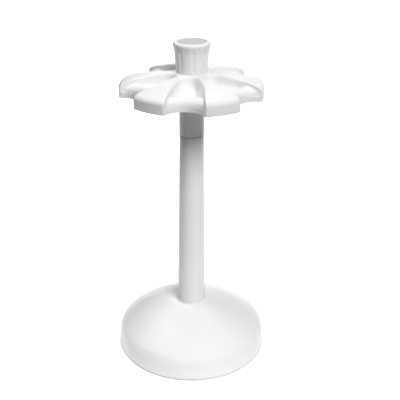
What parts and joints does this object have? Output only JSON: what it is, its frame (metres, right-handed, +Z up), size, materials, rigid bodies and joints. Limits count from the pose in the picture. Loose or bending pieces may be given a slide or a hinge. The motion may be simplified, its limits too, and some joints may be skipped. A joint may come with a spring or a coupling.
{
  "type": "pipette carousel stand",
  "caption": "Free-standing carousel for hand pipettes: a weighted domed base, a tapered pole and a turning scalloped head with hook pockets under a fluted carrying knob.",
  "frame": {"origin": "centre of the footprint, on the bench that the rubber feet stand on", "axes": "+Z up along the pole and the carousel's axis; one station points to -Y, so lobes point to +X and -X"},
  "size_m": [0.1554, 0.1554, 0.3299],
  "materials": {
    "moulded_white": "moulded, satin to gloss white",
    "cap_grey": "moulded, matte light grey",
    "zinc_steel": "bright zinc-plated steel",
    "ballast_steel": "sawn and oiled",
    "foot_rubber": "matte black",
    "acetal": "turned acetal, natural"
  },
  "bodies": {
    "stand": {"base_shell": "moulded_white", "ballast_disc": "ballast_steel", "bottom_cover": "moulded_white", "cover_screws": "zinc_steel", "rubber_feet": "foot_rubber", "pole": "moulded_white", "tie_rod": "zinc_steel", "foot_washer": "zinc_steel", "foot_nut": "zinc_steel", "spindle": "zinc_steel", "thrust_washer": "acetal", "disc_spring": "zinc_steel", "retaining_washer": "zinc_steel", "retaining_nut": "zinc_steel"},
    "carousel": {"carousel_head": "moulded_white", "neck_sleeve": "moulded_white", "lower_bush": "acetal", "upper_bush": "acetal", "knob": "moulded_white", "knob_screws": "zinc_steel", "knob_cap": "cap_grey"}
  },
  "joints": [
    {"name": "carousel_spin", "type": "hinge", "parent": "stand", "child": "carousel", "pos_m": [0, 0, 0.2783], "axis": [0, 0, 1], "continuous": true}
  ]
}
